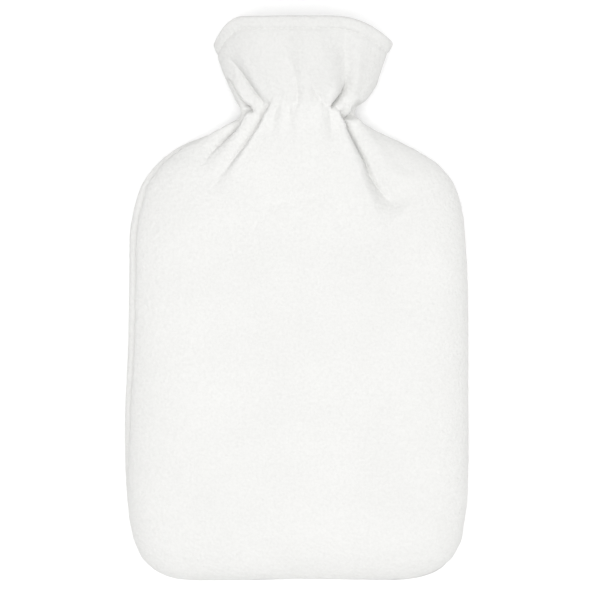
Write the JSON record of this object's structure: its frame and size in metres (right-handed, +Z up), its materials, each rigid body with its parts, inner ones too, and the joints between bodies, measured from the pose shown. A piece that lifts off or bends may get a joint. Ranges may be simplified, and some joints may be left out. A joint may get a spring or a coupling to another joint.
{
  "type": "hot water bottle cover",
  "caption": "Soft fleece cover for a hot water bottle: flat rounded body with sewn edges, an elastic gathered neck and a flared, hemmed ruffle round the open mouth.",
  "frame": {"origin": "on the surface the cover lies on, in the middle of its length and width", "axes": "+X across the cover, +Y along it from the bottom seam to the mouth, +Z up through its face"},
  "size_m": [0.2139, 0.3493, 0.047],
  "materials": {
    "front_fleece": "white brushed fleece",
    "back_fleece": "white brushed fleece"
  },
  "bodies": {
    "root": {"front_panel": "front_fleece", "back_panel": "back_fleece"}
  },
  "joints": []
}
